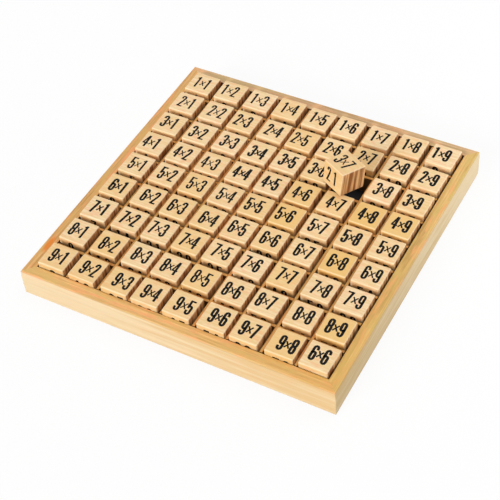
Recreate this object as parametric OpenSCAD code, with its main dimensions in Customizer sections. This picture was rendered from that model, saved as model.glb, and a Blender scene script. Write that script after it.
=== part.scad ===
// Times-table board: a mitred wooden tray with a half-lapped grid of slats and 81 loose wooden tiles.
// Origin: middle of the tray's underside. X runs left to right, Y front to back, Z up.
// Row 1 of the table is at the back, row 9 at the front; column 1 is at the left.

/* [Tiles] */
// Side of a square tile
tile_w = 25.4; // [16:0.1:40]
// Height of a tile
tile_h = 23.2; // [18:0.1:36]
// Radius of the eased edges of a tile
tile_ease = 1.1; // [0.4:0.1:3]
// Space left round a tile in its cell, on each side
tile_play = 1.2; // [0.5:0.05:2.5]
// Largest angle by which a tile stands askew in its cell
tile_skew = 1.2; // [0:0.1:2]

/* [Grid of slats] */
// Thickness of a slat
slat_t = 2.6; // [1.5:0.1:5]
// How far the tops of the slats lie below the top of the rails
slat_drop = 0.6; // [0:0.1:3]
// Space between the end of a slat and the rail
slat_end_gap = 0.9; // [0.3:0.1:2]
// Clearance in the half-laps where slats cross
lap_gap = 0.15; // [0.05:0.05:0.4]
// Chamfer along the top edges of a slat
slat_ease = 0.3; // [0.1:0.1:0.6]

/* [Rails] */
// Thickness of a rail
rail_t = 10.5; // [6:0.1:16]
// Height of a rail
rail_h = 27.2; // [24:0.1:40]
// Height of the slightly leaning band at the top of a rail's outer face
band_h = 7.2; // [3:0.1:10]
// How far that band leans in
band_lean = 0.3; // [0.2:0.1:1.5]
// Radius of a rail's outer top edge
rail_ease_out = 1; // [0.5:0.1:2.5]
// Radius of a rail's inner top edge
rail_ease_in = 0.5; // [0.3:0.1:1.5]
// Radius of a rail's outer bottom edge
rail_ease_low = 0.6; // [0.3:0.1:1.5]

/* [Base] */
// Height of the base board above the surface that the tray stands on
panel_lift = 3.2; // [2:0.1:6]
// Thickness of the base board
panel_t = 5; // [3:0.1:8]
// Depth of the groove that holds the base board
groove_depth = 4; // [2:0.1:5]
// Clearance of the base board in its groove
groove_gap = 0.2; // [0.1:0.05:0.5]
// Thickness of the dark sheet on the base board
floor_t = 1; // [0.4:0.1:2]
// Space between the dark sheet and the rails
floor_gap = 0.3; // [0.1:0.1:1]

/* [Lifted tile] */
// How far the lifted tile's middle lies to the right of its cell's middle
lift_x = -5.1; // [-7:0.1:-4]
// How far the lifted tile's middle lies behind its cell's middle
lift_y = -5.7; // [-7:0.1:-4]
// Angle by which the lifted tile is turned, seen from above
lift_turn = -27; // [-40:1:-15]
// Angle by which the lifted tile leans
lift_tilt = 8; // [2:0.5:10]
// Direction towards which the lifted tile leans, from the X axis
lift_lean = 61; // [45:1:75]
// Clearance between the lifted tile and the two tiles that it lies on
lift_gap = 0.1; // [0.05:0.05:0.4]

/* [Hidden] */

// A times table has nine rows and nine columns
count = 9;
middle = (count + 1) / 2;

// The lifted tile is row 3, column 7; the turned one is in the last place
lifted_row = 3;
lifted_col = 7;
turned_row = count;
turned_col = count;

pitch = tile_w + 2 * tile_play + slat_t;
opening_w = count * pitch - slat_t;
tray_w = opening_w + 2 * rail_t;

floor_z = panel_lift + panel_t + floor_t;
slat_h = rail_h - slat_drop - floor_z;
slat_len = opening_w - 2 * slat_end_gap;
tile_top = floor_z + tile_h;

// Loose tiles stand a little off the middle of their cells and a little askew, but never touch the
// grid: what the skew takes of the play is left out of the shift. The tables go row by row from the
// back, and column by column from the left.
cell_margin = 0.15;
skew_max = min(tile_skew, asin(min(1, max(0, tile_play - cell_margin) / tile_w)));
// To the right
shifts_x = [
    [-1.1, -1.1, -0.1, -0.7, 0.2, -1.0, -0.4, -1.0, -0.6],
    [-1.0, 0.2, 0.0, 0.7, -0.7, -1.0, -0.3, 0.5, -0.3],
    [-0.4, 1.0, 1.1, 0.7, -0.3, -0.3, 0.0, -0.7, -0.1],
    [-0.1, 1.1, 1.1, 1.1, 0.0, -0.8, -0.6, 0.3, -0.5],
    [0.4, 1.1, 1.1, 1.1, 0.2, -0.4, -0.7, 0.0, -0.3],
    [-0.3, 1.1, 0.6, 0.6, 0.1, -1.1, -0.5, 0.7, -0.2],
    [0.0, 1.1, 0.7, 0.2, -0.6, -0.6, -0.7, 0.4, 0.0],
    [-0.8, 0.4, 1.0, -0.1, -1.1, -0.3, -0.9, 0.3, -0.8],
    [-0.7, -0.5, 1.0, -0.5, -0.9, 0.6, -0.6, 0.6, -0.2]
];
// Towards the back
shifts_y = [
    [-0.2, 0.6, 0.3, 0.7, -0.4, 0.1, -0.1, 0.7, 1.0],
    [-0.2, 0.0, -0.6, -1.1, -1.0, -0.7, 0.4, 1.1, -0.6],
    [-0.6, -0.6, -0.5, -0.8, -1.1, 0.1, 0.0, 0.3, -1.1],
    [0.3, -0.2, -0.8, -0.6, -0.8, -0.8, -0.2, -0.9, -0.3],
    [1.1, 1.1, 1.1, 0.0, -0.3, 0.3, 0.3, 0.1, 0.6],
    [1.1, 1.0, 0.8, 0.4, -0.2, 0.7, -0.4, 0.8, 0.7],
    [1.1, 1.0, 1.1, 0.9, 0.7, -0.4, 0.5, 1.1, -0.1],
    [0.8, 0.0, -0.2, -0.7, -0.6, -1.0, -0.7, -0.6, -0.6],
    [-0.5, -1.0, -1.0, -1.1, -1.1, -1.0, -0.6, -1.0, -0.7]
];
// Anticlockwise seen from above
skews = [
    [-0.3, 0.8, 0.2, 0.7, -0.6, -0.3, -0.7, 0.6, -0.7],
    [0.9, 0.2, 0.3, -0.3, -0.3, -0.3, 1.1, 0.2, -0.9],
    [0.5, 0.1, -0.1, -0.7, -0.5, -0.7, 0.0, -0.9, 0.4],
    [0.3, -0.6, 0.7, 0.2, 0.5, 0.1, -0.3, -0.6, -0.2],
    [-0.2, -0.5, 0.4, -0.9, 0.8, 0.0, 0.2, 0.4, 0.2],
    [0.6, 0.1, -0.3, -1.1, 0.0, 0.7, 0.1, 0.4, 0.4],
    [0.6, -0.1, 0.7, 0.0, 0.1, -0.5, 0.6, -0.9, 0.1],
    [-0.4, 0.2, 0.1, -0.3, -0.3, 0.2, -0.4, 0.8, 1.1],
    [0.5, -0.6, 0.0, 0.4, 0.0, 0.4, 0.1, 0.5, -0.7]
];

// Arcs this fine become true round faces
arc_steps = 24;
// Overlap of the cutting shapes beyond the faces that they cut
past = 1;

rail_wood = "#e0b56e";
panel_wood = "#d8b888";
floor_black = "#15130f";
slat_wood = "#c98f4a";
tile_wood = "#f0cf9c";

function held(value, limit) = max(-limit, min(limit, value));
function tile_turn(row, col) = held(skews[row - 1][col - 1], skew_max);
function shift_max(row, col) = max(0, tile_play - cell_margin - tile_w / 2 * sin(abs(tile_turn(row, col))));
function tile_x(row, col) = (col - middle) * pitch + held(shifts_x[row - 1][col - 1], shift_max(row, col));
function tile_y(row, col) = (middle - row) * pitch + held(shifts_y[row - 1][col - 1], shift_max(row, col));

// Centre line of the gap after the given row or column
function gap_line(index) = (index + 0.5 - middle) * pitch;

// Rectangle with round corners, centred on the origin
module round_rect(size_x, size_y, radius) {
    square([size_x - 2 * radius, size_y], center = true);
    square([size_x, size_y - 2 * radius], center = true);
    for (side_x = [-1, 1], side_y = [-1, 1])
        translate([side_x * (size_x / 2 - radius), side_y * (size_y / 2 - radius)])
            circle(r = radius, $fn = arc_steps);
}

// A tile with all twelve edges eased, standing on the plane z = 0
module tile() {
    translate([0, 0, tile_h / 2])
        intersection() {
            linear_extrude(tile_h, center = true)
                round_rect(tile_w, tile_w, tile_ease);
            rotate([90, 0, 0])
                linear_extrude(tile_w, center = true)
                    round_rect(tile_w, tile_h, tile_ease);
            rotate([90, 0, 90])
                linear_extrude(tile_w, center = true)
                    round_rect(tile_w, tile_h, tile_ease);
        }
}

module tile_in_cell(row, col) {
    translate([tile_x(row, col), tile_y(row, col), floor_z])
        rotate([0, 0, tile_turn(row, col)])
            tile();
}

// One row of the table, without the tiles that have sub-parts of their own
module tiles_row(row) {
    color(tile_wood)
        for (col = [1 : count])
            if (!(row == lifted_row && col == lifted_col) && !(row == turned_row && col == turned_col))
                tile_in_cell(row, col);
}

// The tile in the last place is put in back to front
module tile_turned() {
    color(tile_wood)
        translate([tile_x(turned_row, turned_col), tile_y(turned_row, turned_col), floor_z])
            rotate([0, 0, 180 + tile_turn(turned_row, turned_col)])
                tile();
}

// The lifted tile lies across two neighbours: on the right edge of the tile at its left, and on the
// back edge of the tile in front. Its underside clears the higher of those two seats.
module tile_lifted() {
    mid_x = (lifted_col - middle) * pitch + lift_x;
    mid_y = (middle - lifted_row) * pitch + lift_y;
    half = tile_w / 2;
    seat_left_x = tile_x(lifted_row, lifted_col - 1) + half;
    seat_front_y = tile_y(lifted_row + 1, lifted_col) + half;
    // The lifted tile's own left and right bottom edges run along this direction
    edge_x = -sin(lift_turn);
    edge_y = cos(lift_turn);
    // Its two front bottom corners, measured from its middle
    left_x = -half * edge_y - half * edge_x;
    left_y = half * edge_x - half * edge_y;
    right_x = half * edge_y - half * edge_x;
    right_y = -half * edge_x - half * edge_y;
    // Where those edges pass the two seats, measured from its middle
    run_left = (seat_left_x - mid_x - left_x) / edge_x;
    run_front = (seat_front_y - mid_y - right_y) / edge_y;
    seat_left = [left_x + run_left * edge_x, left_y + run_left * edge_y];
    seat_front = [right_x + run_front * edge_x, right_y + run_front * edge_y];
    lean = [cos(lift_lean), sin(lift_lean)];
    rise = tan(lift_tilt) * max(seat_left * lean, seat_front * lean);
    color(tile_wood)
        translate([mid_x, mid_y, tile_top + lift_gap + rise])
            rotate(a = lift_tilt, v = [-sin(lift_lean), cos(lift_lean), 0])
                rotate([0, 0, lift_turn])
                    tile();
}

// Section of a slat, standing on the X axis
module slat_section() {
    polygon([
        [-slat_t / 2, 0], [slat_t / 2, 0],
        [slat_t / 2, slat_h - slat_ease], [slat_t / 2 - slat_ease, slat_h],
        [-slat_t / 2 + slat_ease, slat_h], [-slat_t / 2, slat_h - slat_ease]
    ]);
}

// A slat along the X axis with slots for the eight that cross it, in its upper or lower half
module slat(slots_up) {
    slot_low = slots_up ? slat_h / 2 - lap_gap / 2 : -past;
    slot_high = slots_up ? slat_h + past : slat_h / 2 + lap_gap / 2;
    difference() {
        translate([-slat_len / 2, 0, 0])
            rotate([90, 0, 90])
                linear_extrude(slat_len)
                    slat_section();
        for (index = [1 : count - 1])
            translate([gap_line(index), 0, (slot_low + slot_high) / 2])
                cube([slat_t + 2 * lap_gap, slat_t + 2 * past, slot_high - slot_low], center = true);
    }
}

// Slat between a row and the next, counted from the back
module slat_across(index) {
    color(slat_wood)
        translate([0, -gap_line(index), floor_z])
            slat(slots_up = true);
}

// Slat between a column and the next, counted from the left
module slat_along(index) {
    color(slat_wood)
        translate([gap_line(index), 0, floor_z])
            rotate([0, 0, 90])
                slat(slots_up = false);
}

// Section of a rail: x is the depth inward from the outer face, y the height
module rail_section() {
    difference() {
        union() {
            polygon([
                [0, rail_ease_low], [rail_ease_low, rail_ease_low], [rail_ease_low, 0],
                [rail_t, 0], [rail_t, rail_h - rail_ease_in],
                [rail_t - rail_ease_in, rail_h - rail_ease_in], [rail_t - rail_ease_in, rail_h],
                [band_lean + rail_ease_out, rail_h],
                [band_lean + rail_ease_out, rail_h - rail_ease_out],
                [band_lean, rail_h - rail_ease_out], [0, rail_h - band_h]
            ]);
            translate([rail_ease_low, rail_ease_low])
                circle(r = rail_ease_low, $fn = arc_steps);
            translate([rail_t - rail_ease_in, rail_h - rail_ease_in])
                circle(r = rail_ease_in, $fn = arc_steps);
            translate([band_lean + rail_ease_out, rail_h - rail_ease_out])
                circle(r = rail_ease_out, $fn = arc_steps);
        }
        translate([rail_t - groove_depth, panel_lift])
            square([groove_depth + past, panel_t + groove_gap]);
    }
}

// The front rail, mitred at both ends
module rail() {
    half = tray_w / 2;
    inner = opening_w / 2;
    color(rail_wood)
        intersection() {
            translate([-half, -half, 0])
                rotate([90, 0, 90])
                    linear_extrude(tray_w)
                        rail_section();
            translate([0, 0, -past])
                linear_extrude(rail_h + 2 * past)
                    polygon([[-half, -half], [half, -half], [inner, -inner], [-inner, -inner]]);
        }
}

module rail_front() { rail(); }
module rail_right() { rotate([0, 0, 90]) rail(); }
module rail_back() { rotate([0, 0, 180]) rail(); }
module rail_left() { rotate([0, 0, 270]) rail(); }

module base_panel() {
    panel_w = opening_w + 2 * (groove_depth - groove_gap);
    color(panel_wood)
        translate([-panel_w / 2, -panel_w / 2, panel_lift])
            cube([panel_w, panel_w, panel_t]);
}

module floor_sheet() {
    sheet_w = opening_w - 2 * floor_gap;
    color(floor_black)
        translate([-sheet_w / 2, -sheet_w / 2, panel_lift + panel_t])
            cube([sheet_w, sheet_w, floor_t]);
}

rail_front();
rail_back();
rail_left();
rail_right();
base_panel();
floor_sheet();
for (index = [1 : count - 1]) {
    slat_across(index);
    slat_along(index);
}
for (row = [1 : count])
    tiles_row(row);
tile_lifted();
tile_turned();
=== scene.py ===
# Times-table board: a mitred wooden tray, a half-lapped grid of slats and 81 printed wooden tiles.
import math
import random

import bmesh
import bpy
from mathutils import Color, Matrix, Quaternion, Vector


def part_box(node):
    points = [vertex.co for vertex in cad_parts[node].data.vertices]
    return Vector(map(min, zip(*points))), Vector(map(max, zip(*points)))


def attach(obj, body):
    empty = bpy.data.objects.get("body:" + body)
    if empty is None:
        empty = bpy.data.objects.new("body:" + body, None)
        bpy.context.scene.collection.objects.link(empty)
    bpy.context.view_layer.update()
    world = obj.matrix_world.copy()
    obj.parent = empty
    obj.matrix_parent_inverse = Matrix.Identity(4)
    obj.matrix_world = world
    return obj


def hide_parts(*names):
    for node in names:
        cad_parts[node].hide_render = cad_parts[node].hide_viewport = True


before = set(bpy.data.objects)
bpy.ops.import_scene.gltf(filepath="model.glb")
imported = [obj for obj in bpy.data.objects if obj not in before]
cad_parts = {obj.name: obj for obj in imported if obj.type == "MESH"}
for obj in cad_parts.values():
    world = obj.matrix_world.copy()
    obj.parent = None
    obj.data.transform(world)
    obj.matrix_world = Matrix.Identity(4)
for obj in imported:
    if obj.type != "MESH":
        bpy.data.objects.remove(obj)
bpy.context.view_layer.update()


# Camera
# The board is seen from its front right corner and well above, through a long lens, and the
# camera is tipped a little to the left.
camera_azimuth = math.radians(32.52)
camera_elevation = math.radians(47.22)
camera_roll = math.radians(-5.55)
camera_distance = 1.054
camera_lens = 91.65
tile_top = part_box("tiles_row_5")[1].z
aim = Vector((0.0201, -0.0479, tile_top))

camera_data = bpy.data.cameras.new("camera")
camera_data.lens = camera_lens
camera_data.sensor_width = 36
camera = bpy.data.objects.new("camera", camera_data)
bpy.context.scene.collection.objects.link(camera)
from_board = Vector((
    math.sin(camera_azimuth) * math.cos(camera_elevation),
    -math.cos(camera_azimuth) * math.cos(camera_elevation),
    math.sin(camera_elevation),
))
camera.location = aim + camera_distance * from_board
camera.rotation_mode = "QUATERNION"
camera.rotation_quaternion = from_board.to_track_quat("Z", "Y") @ Quaternion((0, 0, 1), camera_roll)
bpy.context.scene.camera = camera
bpy.context.scene.view_settings.view_transform = "Standard"


# Table and light
# A white table in a plain white room, with a wide low lamp in front, a wide high one behind and a
# small weak one low at the back right. To the camera the table is white with a faint shadow.
def paint(code):
    """The linear colour of a paint code such as #f0d4aa."""
    written = Color(int(code[place : place + 2], 16) / 255 for place in (1, 3, 5))
    return (*written.from_srgb_to_scene_linear(), 1)


def put(tree, kind, inputs, **settings):
    """A new node with its settings. Each input is a value, or the output that feeds it."""
    node = tree.nodes.new(kind)
    for name, value in settings.items():
        setattr(node, name, value)
    for name, value in inputs.items():
        if isinstance(value, bpy.types.NodeSocket):
            tree.links.new(value, node.inputs[name])
        else:
            node.inputs[name].default_value = value
    return node


def seen_white(tree):
    """One for the rays that show the background, straight or in a gloss, and nought for the rest."""
    path = tree.nodes.new("ShaderNodeLightPath")
    in_gloss = put(tree, "ShaderNodeMath", {
        0: path.outputs["Is Glossy Ray"], 1: path.outputs["Is Transmission Ray"]}, operation="MAXIMUM")
    seen = put(tree, "ShaderNodeMath", {
        0: path.outputs["Is Camera Ray"], 1: in_gloss.outputs[0]}, operation="MAXIMUM")
    return seen.outputs[0]


table_size = 8.0
# The table's paint and the share of plain white over it, as the camera sees it
table_white = 0.9
table_glow = 0.9
# The darker table and room that light the board
table_grey = 0.45
room_level = 0.4
# Each wide lamp: its power, and its width, azimuth and elevation in degrees
lamps = {
    "front_lamp": (2.22, 26, -15, 24),
    "high_lamp": (0.98, 40, 165, 68),
}
fill_power = 1.35
fill_size = 0.25
fill_place = Vector((0.55, 0.40, 0.12))

table_mesh = bmesh.new()
bmesh.ops.create_grid(table_mesh, x_segments=1, y_segments=1, size=table_size / 2)
table = bpy.data.objects.new("table", bpy.data.meshes.new("table"))
table_mesh.to_mesh(table.data)
table_mesh.free()
bpy.context.scene.collection.objects.link(table)
table_paint = bpy.data.materials.new("table_white")
table_paint.use_nodes = True
tree = table_paint.node_tree
tree.nodes.clear()
white = put(tree, "ShaderNodeMix", {0: seen_white(tree), 2: table_grey, 3: table_white})
matt = put(tree, "ShaderNodeBsdfDiffuse", {"Color": white.outputs[0]})
glow = put(tree, "ShaderNodeEmission", {"Strength": 1.0})
glow_share = put(tree, "ShaderNodeMath", {0: seen_white(tree), 1: table_glow}, operation="MULTIPLY")
surface = put(tree, "ShaderNodeMixShader", {
    0: glow_share.outputs[0], 1: matt.outputs[0], 2: glow.outputs[0]})
put(tree, "ShaderNodeOutputMaterial", {"Surface": surface.outputs[0]})
table.data.materials.append(table_paint)

room = bpy.data.worlds.new("room")
room.use_nodes = True
bpy.context.scene.world = room
tree = room.node_tree
tree.nodes.clear()
level = put(tree, "ShaderNodeMix", {0: seen_white(tree), 2: room_level, 3: 1.0})
sky = put(tree, "ShaderNodeBackground", {"Color": (1, 1, 1, 1), "Strength": level.outputs[0]})
put(tree, "ShaderNodeOutputWorld", {"Surface": sky.outputs[0]})

for name, (power, width, azimuth, elevation) in lamps.items():
    lamp_data = bpy.data.lights.new(name, "SUN")
    lamp_data.energy = power
    lamp_data.angle = math.radians(width)
    lamp = bpy.data.objects.new(name, lamp_data)
    bpy.context.scene.collection.objects.link(lamp)
    lamp.rotation_euler = (math.radians(90 - elevation), 0, math.radians(azimuth))

fill_data = bpy.data.lights.new("fill", "AREA")
fill_data.energy = fill_power
fill_data.size = fill_size
fill = bpy.data.objects.new("fill", fill_data)
bpy.context.scene.collection.objects.link(fill)
fill.location = fill_place
fill.rotation_euler = fill_place.to_track_quat("Z", "Y").to_euler()
fill.visible_camera = False


# Rails
# Four rails of a light varnished timber, mitred and glued at the corners. Their outer faces are
# paler than their tops, and their inner faces carry painted shade. The left rail has an amber resin
# streak.
def timber(name, pale, deep, warm, cool, run=0, shift=(0, 0, 0), ring=2.2, gloss=0.42):
    """Sawn wood whose grain runs along X, turned by run. Ring is the width of its streaks in
    millimetres, and the last two paints are for its patches."""
    wood = bpy.data.materials.new(name)
    wood.use_nodes = True
    tree = wood.node_tree
    shader = tree.nodes["Principled BSDF"]
    place = tree.nodes.new("ShaderNodeTexCoord").outputs["Object"]
    board = put(tree, "ShaderNodeMapping", {
        "Vector": place, "Location": shift, "Rotation": (0, 0, -run), "Scale": (1000, 1000, 1000)})
    streaks = noise(tree, board.outputs[0], (110, ring, ring), 3)
    colour = mixed(tree, spread(tree, streaks, 0.34, 0.66), paint(pale), paint(deep))
    warmth = noise(tree, board.outputs[0], (26, 4.5, 4.5), 2)
    colour = mixed(tree, spread(tree, warmth, 0.48, 0.62), colour, paint(warm))
    coolness = noise(tree, board.outputs[0], (34, 6, 6), 2, lift=7)
    colour = mixed(tree, spread(tree, coolness, 0.48, 0.62), colour, paint(cool))
    fibres = noise(tree, board.outputs[0], (8, 0.45, 0.45), 3)
    colour = mixed(tree, 1.0, colour, spread(tree, fibres, 0.3, 0.7, 0.9, 1.07), "MULTIPLY")
    tree.links.new(colour, shader.inputs["Base Color"])
    tree.links.new(spread(tree, streaks, 0.3, 0.7, gloss - 0.06, gloss + 0.08), shader.inputs["Roughness"])
    relief = put(tree, "ShaderNodeBump", {"Strength": 0.35, "Distance": 0.00006, "Height": fibres})
    tree.links.new(relief.outputs[0], shader.inputs["Normal"])
    return wood


def noise(tree, place, patch, detail, lift=0.0):
    """Noise in patches of that length, width and height in millimetres. Lift gives other patches."""
    stretched = put(tree, "ShaderNodeMapping", {
        "Vector": place, "Location": (0, 0, lift), "Scale": [1 / size for size in patch]})
    return put(tree, "ShaderNodeTexNoise", {
        "Vector": stretched.outputs[0], "Scale": 1.0, "Detail": detail, "Roughness": 0.6}).outputs["Fac"]


def spread(tree, value, low, high, to_low=0.0, to_high=1.0):
    """A value's range from low to high, spread over another range."""
    return put(tree, "ShaderNodeMapRange", {
        "Value": value, "From Min": low, "From Max": high, "To Min": to_low, "To Max": to_high}).outputs[0]


def mixed(tree, share, first, second, kind="MIX"):
    """Colour that goes from the first to the second by share."""
    return put(tree, "ShaderNodeMix", {0: share, 6: first, 7: second},
               data_type="RGBA", blend_type=kind).outputs[2]


def add_to_colour(wood, share, tint):
    """Lays a tint over the wood's colour by a share that its own tree gives."""
    socket = wood.node_tree.nodes["Principled BSDF"].inputs["Base Color"]
    under = socket.links[0].from_socket
    wood.node_tree.links.new(mixed(wood.node_tree, share, under, tint), socket)


def tint_and_shade_sides(wood, pale, deep, patch, fade, along="X", drift=(0.0, 0.0)):
    """Lays two tints over the upright faces between two heights, the second being where they fade
    out, in patches of that size. Drift favours one at each end. Dark tints, as on the slats, are
    painted shade."""
    tree = wood.node_tree
    facing = tree.nodes.new("ShaderNodeNewGeometry").outputs["Normal"]
    upward = put(tree, "ShaderNodeSeparateXYZ", {0: facing}).outputs["Z"]
    side = put(tree, "ShaderNodeMath", {0: upward}, operation="ABSOLUTE").outputs[0]
    place = tree.nodes.new("ShaderNodeTexCoord").outputs["Object"]
    millimetres = put(tree, "ShaderNodeMapping", {"Vector": place, "Scale": (1000, 1000, 1000)}).outputs[0]
    length = put(tree, "ShaderNodeSeparateXYZ", {0: millimetres}).outputs[along]
    favour = spread(tree, length, -1000 * half_tray, 1000 * half_tray, *drift)
    patches = put(tree, "ShaderNodeMath", {0: noise(tree, millimetres, patch, 3), 1: favour}).outputs[0]
    tint = mixed(tree, spread(tree, patches, 0.4, 0.64), paint(pale), paint(deep))
    height = put(tree, "ShaderNodeSeparateXYZ", {0: millimetres}).outputs["Z"]
    upright_share = spread(tree, side, 0.1, 0.5, 0.85, 0.0)
    height_share = spread(tree, height, *fade, 1.0, 0.0)
    share = put(tree, "ShaderNodeMath", {0: upright_share, 1: height_share}, operation="MULTIPLY")
    add_to_colour(wood, share.outputs[0], tint)


def shade_inside(wood, node, tint):
    """Lays painted shade, a dark tint, over the face of a rail that looks into the tray."""
    tree = wood.node_tree
    middle = (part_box(node)[0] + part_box(node)[1]) / 2
    to_tray = Vector((-middle.x, -middle.y, 0)).normalized()
    facing = tree.nodes.new("ShaderNodeNewGeometry").outputs["Normal"]
    inward = put(tree, "ShaderNodeVectorMath", {0: facing, 1: to_tray}, operation="DOT_PRODUCT")
    add_to_colour(wood, spread(tree, inward.outputs["Value"], 0.5, 0.8), tint)


half_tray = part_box("rail_right")[1].x
# Each rail was sawn from its own plank: the way it runs, how its sides drift from pale to deep,
# their two paints, and the four paints of its top
planks = {
    "rail_front": ("X", (-0.15, 0.12), "#f8dfb4", "#edc890", "#f2c17a", "#bf8f48", "#efaa6a", "#dcb268"),
    "rail_back": ("X", (0, 0), "#f0d8ac", "#e6c48e", "#e9c292", "#bb915c", "#e0a874", "#d0ae76"),
    "rail_left": ("Y", (0, 0), "#f0d8ac", "#e6c48e", "#eebb76", "#b9853f", "#e89f60", "#d4a65c"),
    "rail_right": ("Y", (0.12, -0.18), "#f4dcac", "#e4c07a", "#eac074", "#bb9046", "#e8a862", "#d2b060"),
}
# How far each rail's pattern lies from the one before it, in millimetres
plank_step = (310, 47)
# The paint of the sides fades out between these depths under the top, in millimetres
side_fade = (2.4, 0.3)
# The dark brown of the inner faces is painted shade for the narrow gap beside the tiles
inner_shade_paint = "#6e4a2a"
# The front and the right rail turn golden towards the corner they share: from where to where
# along each, and the share of gold at either end
golden_paint = "#d09f38"
golden_share = 0.45
golden_stretches = {
    "rail_front": (-0.02, half_tray, 0, golden_share),
    "rail_right": (-half_tray, 0.02, golden_share, 0),
}

rail_woods = {}
for order, (node, (along, drift, side_pale, side_deep, *paints)) in enumerate(planks.items()):
    turned = 0 if along == "X" else math.pi / 2
    side_patch = (90, 8, 5) if along == "X" else (8, 90, 5)
    wood = timber(f"{node}_wood", *paints, turned, (plank_step[0] * order, plank_step[1] * order, 0))
    if node in golden_stretches:
        tree = wood.node_tree
        place = tree.nodes.new("ShaderNodeTexCoord").outputs["Object"]
        length = put(tree, "ShaderNodeSeparateXYZ", {0: place}).outputs[along]
        add_to_colour(wood, spread(tree, length, *golden_stretches[node]), paint(golden_paint))
    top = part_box(node)[1].z * 1000
    tint_and_shade_sides(wood, side_pale, side_deep, side_patch, [top - depth for depth in side_fade], along, drift)
    # Painted shade on the face that looks into the tray
    shade_inside(wood, node, paint(inner_shade_paint))
    rail_woods[node] = wood
    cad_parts[node].material_slots[0].material = wood

# Resin streak on top of the left rail: where it is, and half its width, length and depth
resin_place = (-0.1410, -0.1102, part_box("rail_left")[1].z)
resin_half = (0.0026, 0.0095, 0.0030)
resin_paint = "#e07c00"
resin_share = 0.92
tree = rail_woods["rail_left"].node_tree
place = tree.nodes.new("ShaderNodeTexCoord").outputs["Object"]
from_middle = put(tree, "ShaderNodeVectorMath", {0: place, 1: resin_place}, operation="SUBTRACT")
in_halves = put(tree, "ShaderNodeVectorMath", {
    0: from_middle.outputs[0], 1: resin_half}, operation="DIVIDE")
reach = put(tree, "ShaderNodeVectorMath", {0: in_halves.outputs[0]}, operation="LENGTH").outputs["Value"]
add_to_colour(rail_woods["rail_left"], spread(tree, reach, 0.6, 1.2, resin_share, 0.0), paint(resin_paint))


# Base board
# A thin plywood board set in a groove in the rails. It carries the grid and the tiles, and is
# only seen from below.
base_wood = timber("base_wood", "#e6cda0", "#cfae78", "#dcb987", "#d8c193", 0, (60, 12, 0), ring=6)
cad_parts["base_panel"].material_slots[0].material = base_wood


# Dark sheet
# A near-black sheet that lies on the base board under the slats and tiles. It is seen where a
# cell is empty and in the gaps, and its near-black is painted shade that keeps them dark.
sheet_shade = bpy.data.materials.new("black_sheet_painted_shade")
sheet_shade.use_nodes = True
tree = sheet_shade.node_tree
place = tree.nodes.new("ShaderNodeTexCoord").outputs["Object"]
nap = put(tree, "ShaderNodeTexNoise", {"Vector": place, "Scale": 1400.0, "Detail": 3.0})
shade = spread(tree, nap.outputs["Fac"], 0.3, 0.7, 0.004, 0.011)
tree.links.new(shade, tree.nodes["Principled BSDF"].inputs["Base Color"])
tree.nodes["Principled BSDF"].inputs["Roughness"].default_value = 0.85
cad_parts["floor_sheet"].material_slots[0].material = sheet_shade


# Slats
# Thin strips of an orange-brown wood, notched halfway through where they cross. They stop just
# short of the rails. Below their top edge their sides carry painted shade.
slats_each_way = 8
slat_paints = ("#e6ab58", "#bd8038", "#d58a3c", "#cc9a4c")
slats_across = timber("slats_across_wood", *slat_paints, 0, ring=1.2, gloss=0.5)
slats_along = timber("slats_along_wood", *slat_paints, math.pi / 2, (35, 80, 0), ring=1.2, gloss=0.5)
# Below their top edge the slats are painted near-black: painted shade for the dark of the cells
slat_side_shade = ("#2e1c0e", "#20140b")
slat_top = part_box("slat_across_1")[1].z * 1000
slat_fade = (slat_top - 0.3, slat_top)
tint_and_shade_sides(slats_across, *slat_side_shade, (40, 2, 2), slat_fade)
tint_and_shade_sides(slats_along, *slat_side_shade, (2, 40, 2), slat_fade)
for index in range(1, slats_each_way + 1):
    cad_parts[f"slat_across_{index}"].material_slots[0].material = slats_across
    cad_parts[f"slat_along_{index}"].material_slots[0].material = slats_along


# Tiles
# Blocks of a pale close-grained wood, tumbled so that their edges are round. The grain runs from
# left to right, and the sawn end grain on the left and right faces is darker and banded.
count = 9
centre = (count + 1) / 2
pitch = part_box("slat_along_2")[0].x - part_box("slat_along_1")[0].x
tile_ease = 0.00125
tile_ease_spread = 0.00015
edge_steps = 4
# How deep the end grain and the pale rims reach into a tile, as shares of its eased edge. The
# pale rims are partly wear and partly painted highlight.
end_grain_reach = 0.5
wear_and_highlight_reach = 0.29
# How far from the middle of the log a tile may have been sawn, in millimetres
log_reach = 500
# Some tiles, by row from the back and column from the left, are of a more golden wood
tone_spread = 0.3
yellow_tone = 0.7
yellow_tiles = {(4, 6), (4, 8), (4, 9), (5, 6), (6, 8), (8, 9), (9, 8)}
honey_tone = 0.35
honey_tiles = {
    (1, 4), (2, 5), (2, 7), (3, 6), (3, 7), (3, 9), (4, 7), (5, 3), (5, 5), (5, 8), (6, 1), (6, 3),
    (6, 4), (6, 6), (7, 4), (7, 7), (8, 2), (8, 5), (9, 1), (9, 2), (9, 3), (9, 4), (9, 5), (9, 7),
}
# A face looks one way when the cosine between the two is over this
facing_limit = 0.85


def tile_place(node, column=None):
    """The place and size of a tile, from its solid: its own axes are square to its flat faces."""
    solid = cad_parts[node].data
    faces = [f for f in solid.polygons if column is None or round(f.center.x / pitch + centre) == column]
    corners = [solid.vertices[v].co for f in faces for v in f.vertices]
    axes = []
    for way in (Vector((1, 0, 0)), Vector((0, 1, 0)), Vector((0, 0, 1))):
        facing = [f for f in faces if f.normal.dot(way) > facing_limit]
        axes.append(max(facing, key=lambda f: f.area).normal.copy())
    spans = [(min(map(axis.dot, corners)), max(map(axis.dot, corners))) for axis in axes]
    middle = sum((axis * (low + high) / 2 for axis, (low, high) in zip(axes, spans)), Vector())
    size = Vector(high - low for low, high in spans)
    return Matrix.Translation(middle) @ Matrix(axes).transposed().to_4x4(), size


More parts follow.
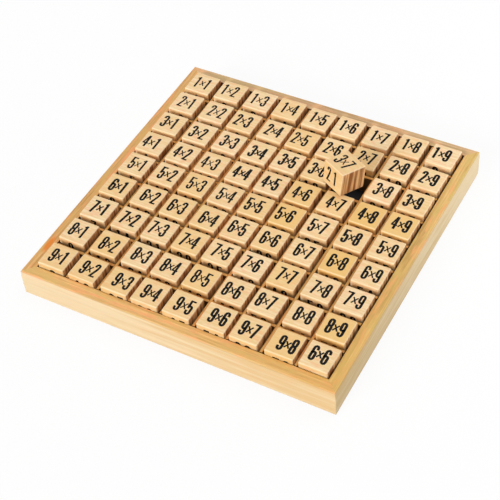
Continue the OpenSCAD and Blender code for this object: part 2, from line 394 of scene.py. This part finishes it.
def add_tile(blanks, place, size, tone, chance):
    """One tile. Its wood pattern, tone, end grain and pale rims, partly wear and partly painted
    highlight, are kept on its vertices.
    """
    before = set(blanks.verts)
    cube = bmesh.ops.create_cube(blanks, size=1)["verts"]
    bmesh.ops.scale(blanks, vec=size, verts=cube)
    ease = tile_ease + tile_ease_spread * chance.uniform(-1, 1)
    edges = [edge for edge in blanks.edges if edge.verts[0] in cube]
    bmesh.ops.bevel(blanks, geom=edges, offset=ease, segments=edge_steps, profile=0.5,
                    affect="EDGES", material=-1)
    tile = [v for v in blanks.verts if v not in before]
    layers = blanks.verts.layers
    from_log = Vector(chance.uniform(-1, 1) for _ in range(3))
    for v in tile:
        depth = [half - abs(at) for half, at in zip(size / 2, v.co)]
        v[layers.float_vector["grain"]] = v.co * 1000 + from_log * log_reach
        v[layers.float["tone"]] = tone
        v[layers.float["end_grain"]] = max(0, 1 - depth[0] / (end_grain_reach * ease))
        v[layers.float["wear_and_highlight"]] = min(1, min(depth) / (wear_and_highlight_reach * ease))
    bmesh.ops.transform(blanks, matrix=place, verts=tile)


def tile_wood():
    """Pale wood with soft streaks and warm patches, banded and darker on the end grain, and paler
    on its rounded edges, partly by wear and partly by a painted highlight.
    """
    wood = bpy.data.materials.new("tile_wood")
    wood.use_nodes = True
    tree = wood.node_tree
    shader = tree.nodes["Principled BSDF"]
    grain = put(tree, "ShaderNodeAttribute", {}, attribute_name="grain").outputs["Vector"]
    tone = put(tree, "ShaderNodeAttribute", {}, attribute_name="tone").outputs["Fac"]
    end_grain = put(tree, "ShaderNodeAttribute", {}, attribute_name="end_grain").outputs["Fac"]
    wear_and_highlight = put(tree, "ShaderNodeAttribute", {}, attribute_name="wear_and_highlight").outputs["Fac"]

    rings = noise(tree, grain, (45, 1.6, 5), 3)
    face = mixed(tree, spread(tree, rings, 0.36, 0.66), paint("#f6dcb4"), paint("#eac48c"))
    warm = noise(tree, grain, (9, 3, 3), 2)
    face = mixed(tree, spread(tree, warm, 0.48, 0.66, 0, 0.8), face, paint("#f2ba8c"))
    cool = noise(tree, grain, (8, 3, 3), 2, lift=40)
    face = mixed(tree, spread(tree, cool, 0.5, 0.66, 0, 0.7), face, paint("#e6cc92"))
    face = mixed(tree, tone, face, paint("#e8bb6e"))
    bands = noise(tree, grain, (200, 2.4, 60), 2)
    ends = mixed(tree, spread(tree, bands, 0.4, 0.6), paint("#f2c084"), paint("#94592a"))
    pores = noise(tree, grain, (0.5, 0.32, 0.32), 2)
    ends = mixed(tree, spread(tree, pores, 0.55, 0.75, 0, 0.25), ends, paint("#6b3f1e"))
    colour = mixed(tree, end_grain, face, ends)
    fibres = noise(tree, grain, (5, 0.35, 0.35), 3)
    colour = mixed(tree, 1.0, colour, spread(tree, fibres, 0.3, 0.7, 0.94, 1.05), "MULTIPLY")
    # The pale rims on the rounded edges are partly wear and partly painted highlight
    colour = mixed(tree, spread(tree, wear_and_highlight, 0, 1, 0, 0.5), colour, paint("#fde9c6"))
    tree.links.new(colour, shader.inputs["Base Color"])
    tree.links.new(spread(tree, rings, 0.3, 0.7, 0.42, 0.55), shader.inputs["Roughness"])
    relief = put(tree, "ShaderNodeBump", {"Strength": 0.3, "Distance": 0.00004, "Height": fibres})
    tree.links.new(relief.outputs[0], shader.inputs["Normal"])
    return wood


pale_wood = tile_wood()
tile_chance = random.Random(9)
tile_places = {}


def tile_piece(name, nodes):
    """A piece with some tiles. Each is given by its node, its row and column, and the column in
    which its solid stands, or None where the node holds that tile alone."""
    blanks = bmesh.new()
    blanks.verts.layers.float_vector.new("grain")
    for layer in ("tone", "end_grain", "wear_and_highlight"):
        blanks.verts.layers.float.new(layer)
    for node, row, column, part in nodes:
        place, size = tile_place(node, part)
        tile_places[row, column] = (place, size)
        tone = tile_chance.uniform(0, tone_spread)
        if (row, column) in honey_tiles:
            tone += honey_tone
        if (row, column) in yellow_tiles:
            tone += yellow_tone
        add_tile(blanks, place, size, tone, tile_chance)
    piece = bpy.data.objects.new(name, bpy.data.meshes.new(name))
    for face in blanks.faces:
        face.smooth = True
    blanks.to_mesh(piece.data)
    blanks.free()
    piece.data.materials.append(pale_wood)
    bpy.context.scene.collection.objects.link(piece)
    piece.modifiers.new("flat_faces", "WEIGHTED_NORMAL")
    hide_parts(nodes[0][0])
    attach(piece, "root")


taken_out = (3, 7)
last = (count, count)
for row in range(1, count + 1):
    standing = [column for column in range(1, count + 1) if (row, column) not in (taken_out, last)]
    tile_piece(f"row_{row}_tiles", [(f"tiles_row_{row}", row, column, column) for column in standing])


# Printed figures
# Tall narrow figures in black ink: the multiplication on top of each tile and its answer on the
# front. A figure is a few strokes drawn with a square pen and as thin as ink, and none is printed
# quite in the middle of its tile.

# How far the ink stands out of the wood and reaches into it, and how far each stroke of a figure
# stands over the one before, so that no two share a face
ink_rise = 0.00003
ink_sunk = 0.0001
stroke_step = 0.000004
# Steps in half a turn of the pen
turn_steps = 5
stroke_w = 0.0021
bar_w = 0.0016
figure_h = 0.0154
figure_w = 0.00525
# Figures without a round end are a little shorter
flat_h = 0.0146
# From the middle of the sign to the figures beside it, and half the pitch of an answer's figures
top_spread = 0.00526
answer_spread = 0.0043
# From a tile's top edge down to its answer, and how far chance moves an answer
answer_drop = 0.0038
answer_slip = 0.0002
# The sign between the figures is thinner and a little low: half its width and height
cross_w = 0.0012
cross_half = (0.0020, 0.0032)
cross_drop = 0.00025
# How far each tile's print lies off its middle, in millimetres: rows from the back, columns from
# the left; to the right, and towards the back
shifts_right = (
    (0.0, -1.4, -1.0, 0.7, -0.3, -0.1, 0.0, 0.3, -2.3),
    (0.3, 0.9, -1.1, -0.2, -2.1, 0.0, 0.5, 0.4, -0.5),
    (-0.7, -1.4, 0.0, -0.1, 0.2, -1.0, -1.1, 0.4, -1.9),
    (-2.1, -0.8, -1.8, -0.6, -1.1, -0.4, 0.7, 0.1, 0.2),
    (1.1, 1.0, 0.6, 0.7, -1.2, -1.8, -0.5, -1.0, 1.2),
    (1.0, 1.5, -0.5, 1.1, -1.0, 0.0, 1.1, -0.3, 1.0),
    (0.4, -0.4, -1.7, -0.4, 0.5, -0.8, 0.7, 0.8, 0.0),
    (-0.8, 0.4, 0.8, 0.2, 0.0, -1.7, -1.6, 0.7, -0.3),
    (0.8, 1.6, 1.9, 1.0, 2.1, 1.2, 0.2, 2.3, 0.4),
)
shifts_back = (
    (0.1, 0.5, 0.5, 0.4, 0.5, 1.0, 0.1, 0.5, 1.2),
    (0.5, 0.2, 0.0, 0.0, 0.1, 0.1, 1.1, 1.2, 0.4),
    (0.7, -0.6, 0.2, -1.1, 0.6, 0.4, 0.0, 0.5, -0.2),
    (0.1, 0.1, -0.4, 0.2, 0.0, -0.6, -0.1, -0.6, 0.8),
    (0.1, 0.3, -0.2, 0.0, -0.1, 0.3, -0.4, 0.1, 0.3),
    (-0.2, 0.3, -0.2, -1.2, 0.7, -0.2, 0.4, 0.2, 0.1),
    (0.4, 0.2, 0.8, -0.3, 0.6, 0.4, 0.2, -1.2, 0.6),
    (0.8, -1.5, 0.0, -0.1, -0.2, -0.5, 0.6, 0.3, -0.1),
    (0.0, 0.0, 0.1, -0.7, -0.5, 0.7, -0.3, -0.5, -1.0),
)

# The middle of the pen's stroke: beside a figure's middle line, and above it where a round end
# begins, at a straight end and in a bar
side = (figure_w - stroke_w) / 2
bend = (figure_h - stroke_w) / 2 - side
flat = flat_h / 2
bar = flat - bar_w / 2


def run(length):
    """Move of the pen straight ahead."""
    return "run", length


def turn(degrees, radius=side):
    """Move of the pen round a bend, to the left where degrees is positive."""
    return "turn", degrees, radius


def draw(figure, start, heading, moves, width, height):
    """One stroke: an edge as wide as the pen, drawn along its moves and given its depth."""
    before = set(figure.verts)
    ahead = Vector((math.cos(math.radians(heading)), math.sin(math.radians(heading)), 0))
    left = Vector((-ahead.y, ahead.x, 0))
    at = Vector((*start, ink_rise + height))
    ends = [figure.verts.new(at + left * width / 2), figure.verts.new(at - left * width / 2)]
    edge = figure.edges.new(ends)
    for kind, amount, *radius in moves:
        if kind == "run":
            drawn = bmesh.ops.extrude_edge_only(figure, edges=[edge])["geom"]
            bmesh.ops.translate(figure, vec=ahead * amount,
                                verts=[g for g in drawn if isinstance(g, bmesh.types.BMVert)])
            at = at + ahead * amount
        else:
            angle = math.radians(amount)
            pivot = at + left * math.copysign(radius[0], amount)
            steps = max(1, round(turn_steps * abs(amount) / 180))
            drawn = bmesh.ops.spin(figure, geom=[edge, *edge.verts], cent=pivot, axis=(0, 0, 1),
                                   angle=angle, steps=steps, use_duplicate=False)["geom_last"]
            spun = Matrix.Rotation(angle, 3, "Z")
            at = pivot + spun @ (at - pivot)
            ahead = spun @ ahead
            left = spun @ left
        edge = next(g for g in drawn if isinstance(g, bmesh.types.BMEdge))
    made = [v for v in figure.verts if v not in before]
    bmesh.ops.remove_doubles(figure, verts=made, dist=stroke_w / 1000)
    faces = [f for f in figure.faces if f.verts[0] not in before]
    raised = bmesh.ops.extrude_face_region(figure, geom=faces)["geom"]
    bmesh.ops.translate(figure, vec=(0, 0, -ink_sunk - ink_rise),
                        verts=[g for g in raised if isinstance(g, bmesh.types.BMVert)])


def curve(start, heading, *moves):
    """A stroke of several moves."""
    return start, heading, moves, stroke_w


def line(start, end, width=stroke_w):
    """A straight stroke between two points."""
    across, up = end[0] - start[0], end[1] - start[1]
    return start, math.degrees(math.atan2(up, across)), [run(math.hypot(across, up))], width


# How far an open round end runs back: at the top of 2 and 3, at the foot of 3, in 5 and in 6
top_hook = 0.0016
three_hook = 0.0020
five_hook = 0.0022
six_hook = 0.0019
# The two halves of 3 and 8 meet a little above the middle. In 3 each turns in there with a small
# bend, which starts so far short of the middle, and a short bar fills the corner.
waist = 0.0002
notch_turn = 80
notch_bend = 0.00105
notch_run = 0.0003
notch_above = 0.0017
notch_below = 0.0012
notch_bar_w = 0.0013
# Height of the crossbar of 4
four_bar = -0.0025
# The neck of the figure 2 leaves its round top in a slow bend and then runs straight to the foot
neck_bend = 0.012
neck_run = math.sqrt((neck_bend - 2 * side) ** 2 + (bend + bar) ** 2 - neck_bend ** 2)
neck = math.degrees(math.atan2(bend + bar, neck_bend - 2 * side) - math.atan2(neck_run, neck_bend))
figures = {
    "0": [curve((-side, -bend), 90, run(2 * bend), turn(-180), run(2 * bend), turn(-180))],
    "1": [line((0, -flat), (0, flat)),
          line((-0.0020, flat - 0.0023), (-0.0001, flat - 0.0008), bar_w)],
    "2": [curve((-side, bend - top_hook), 90, run(top_hook), turn(-180), turn(-neck, neck_bend),
                run(neck_run)),
          line((-side - stroke_w / 2, -bar), (figure_w / 2, -bar), bar_w)],
    "3": [curve((-side, bend - top_hook), 90, run(top_hook), turn(-180), run(bend - notch_above),
                turn(-notch_turn, notch_bend), run(notch_run)),
          curve((-side, three_hook - bend), -90, run(three_hook), turn(180), run(bend - notch_below),
                turn(notch_turn, notch_bend), run(notch_run)),
          line((0.0009, waist), (-0.0007, waist), notch_bar_w)],
    "4": [line((0.0006, -flat), (0.0006, flat)),
          line((-0.0023, -0.0024), (0, flat), 0.0014),
          line((-0.0029, four_bar), (0.0024, four_bar), bar_w)],
    "5": [line((-figure_w / 2, bar), (figure_w / 2 - 0.0003, bar), bar_w),
          line((-side, flat), (-side, -0.0011)),
          curve((-side, 0), 75, turn(-165), run(bend - 0.0001), turn(-180), run(five_hook))],
    "6": [curve((side, bend - six_hook), 90, run(six_hook), turn(180), run(2 * bend), turn(180),
                run(bend - 0.0007), turn(180))],
    "7": [line((-figure_w / 2 - 0.0005, bar), (figure_w / 2 - 0.0001, bar), bar_w),
          line((-0.0010, -flat), (side - 0.0001, flat))],
    "8": [curve((-side, -bend), 90, run(bend - side + waist), turn(-180), run(bend - side + waist),
                turn(-180)),
          curve((-side, side + waist), 90, run(bend - side - waist), turn(-180),
                run(bend - side - waist), turn(-180))],
}
figures["9"] = figures["6"]
cross_top = cross_half[1] - cross_drop
cross_foot = -cross_half[1] - cross_drop
figures["x"] = [line((-cross_half[0], cross_foot), (cross_half[0], cross_top), cross_w),
                line((-cross_half[0], cross_top), (cross_half[0], cross_foot), cross_w)]

# Some tiles are printed with less ink or with more, which makes the strokes thinner or wider
faint = -0.0002
heavy = 0.0002
faint_tiles = {
    (1, 1), (1, 2), (1, 3), (1, 4), (2, 1), (2, 2), (2, 5), (3, 7), (4, 3), (5, 1), (5, 3), (5, 4),
    (8, 5),
}
heavy_tiles = {
    (1, 9), (2, 8), (2, 9), (3, 4), (3, 5), (3, 9), (4, 4), (4, 5), (4, 8), (4, 9), (5, 8), (6, 1),
    (7, 1), (7, 2), (8, 9), (9, 6), (9, 7), (9, 8), (9, 9),
}

dies = {}
for gain in (faint, 0.0, heavy):
    for sign, strokes in figures.items():
        die = bmesh.new()
        for order, (start, heading, moves, width) in enumerate(strokes):
            draw(die, start, heading, moves, width + gain, order * stroke_step)
        if sign == "9":
            bmesh.ops.rotate(die, verts=die.verts, matrix=Matrix.Rotation(math.pi, 3, "Z"))
        bmesh.ops.recalc_face_normals(die, faces=die.faces)
        dies[gain, sign] = bpy.data.meshes.new(f"die_{sign}")
        die.to_mesh(dies[gain, sign])
        die.free()


def stamp(ink, gain, sign, place):
    """One sign stamped where place says."""
    mark = dies[gain, sign].copy()
    mark.transform(place)
    ink.from_mesh(mark)
    bpy.data.meshes.remove(mark)


def black_ink():
    """Black ink with a slight gloss, a little uneven."""
    material = bpy.data.materials.new("black_ink")
    material.use_nodes = True
    tree = material.node_tree
    shader = tree.nodes["Principled BSDF"]
    place = tree.nodes.new("ShaderNodeTexCoord").outputs["Object"]
    cover = put(tree, "ShaderNodeTexNoise", {"Vector": place, "Scale": 900.0, "Detail": 4.0})
    shade = spread(tree, cover.outputs["Fac"], 0.35, 0.75, 0.001, 0.006)
    tree.links.new(shade, shader.inputs["Base Color"])
    shader.inputs["Roughness"].default_value = 0.7
    shader.inputs["Specular IOR Level"].default_value = 0.15
    return material


ink_paint = black_ink()
ink_chance = random.Random(27)
# Stands a sign up on the front of its tile
upright = Matrix.Rotation(math.pi / 2, 4, "X")
# Answers that are printed to the right or the left of the multiplication, in millimetres
answer_asides = {
    (1, 4): 0.7, (2, 5): 0.5, (2, 8): 0.7, (3, 6): -0.9, (3, 8): 0.6, (4, 1): 0.8, (4, 3): 1.2,
    (4, 4): 0.8, (4, 8): 0.7, (5, 1): 1.3, (5, 2): 1.1, (6, 1): 0.6, (6, 2): -0.8, (7, 1): 1.1,
    (7, 3): 2.2, (7, 4): 0.8, (7, 6): 1.6, (7, 7): -0.9, (8, 3): 0.7, (8, 4): -0.6, (8, 6): 1.0,
    (9, 1): 0.4, (9, 2): -0.5, (9, 3): 0.7,
}
# Answers that are printed high or low, in millimetres
answer_rises = {
    (1, 3): 0.4, (1, 9): 0.7, (2, 7): 0.5, (2, 8): 1.5, (3, 1): -0.8, (3, 6): 0.8, (3, 7): 0.8,
    (4, 1): 1.3, (4, 2): 1.0, (4, 3): 1.3, (5, 1): 1.4, (6, 1): 1.4, (6, 3): 0.8, (6, 6): 0.9,
    (7, 1): 1.4, (7, 2): 0.7, (7, 3): 1.5, (7, 4): 1.2, (7, 5): 1.5, (7, 6): 1.0, (7, 7): 0.9,
    (8, 1): 1.4, (8, 8): -1.6, (8, 9): -1.4, (9, 4): -0.8, (9, 8): -0.5,
}


def print_piece(name, cells):
    """A piece with the ink of some tiles."""
    ink = bmesh.new()
    for row, column in cells:
        place, size = tile_places[row, column]
        right = shifts_right[row - 1][column - 1] / 1000
        back = shifts_back[row - 1][column - 1] / 1000
        gain = 0.0
        if (row, column) in faint_tiles:
            gain = faint
        if (row, column) in heavy_tiles:
            gain = heavy
        on_top = place @ Matrix.Translation((right, back, size.z / 2))
        stamp(ink, gain, str(row), on_top @ Matrix.Translation((-top_spread, 0, 0)))
        stamp(ink, gain, "x", on_top)
        stamp(ink, gain, str(column), on_top @ Matrix.Translation((top_spread, 0, 0)))
        answer = str(row * column)
        aside = right + answer_slip * ink_chance.uniform(-1, 1)
        aside += answer_asides.get((row, column), 0) / 1000
        up = size.z / 2 - answer_drop - figure_h / 2 + answer_slip * ink_chance.uniform(-1, 1)
        up += answer_rises.get((row, column), 0) / 1000
        in_front = place @ Matrix.Translation((aside, -size.y / 2, up)) @ upright
        for order, sign in enumerate(answer):
            along = answer_spread * (2 * order - len(answer) + 1)
            stamp(ink, gain, sign, in_front @ Matrix.Translation((along, 0, 0)))
    piece = bpy.data.objects.new(name, bpy.data.meshes.new(name))
    ink.to_mesh(piece.data)
    ink.free()
    piece.data.materials.append(ink_paint)
    bpy.context.scene.collection.objects.link(piece)
    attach(piece, "root")


for row in range(1, count + 1):
    standing = [(row, column) for column in range(1, count + 1) if (row, column) not in (taken_out, last)]
    print_piece(f"row_{row}_print", standing)


# Tile taken out
# A tile like the rest, 3x7, was lifted out by hand. It lies loose across the edges of two
# neighbours, and its empty cell shows the dark sheet.
tile_piece("tile_out", [("tile_lifted", *taken_out, None)])
print_piece("tile_out_print", [taken_out])


# Turned tile
# The corner tile 9x9 is like the rest but was put back the wrong way round, so that it reads 6x6
# and its answer faces the back.
tile_piece("tile_corner", [("tile_turned", *last, None)])
place, size = tile_places[last]
tile_places[last] = (place @ Matrix.Rotation(math.pi, 4, "Z"), size)
print_piece("tile_corner_print", [last])

for die in dies.values():
    bpy.data.meshes.remove(die)
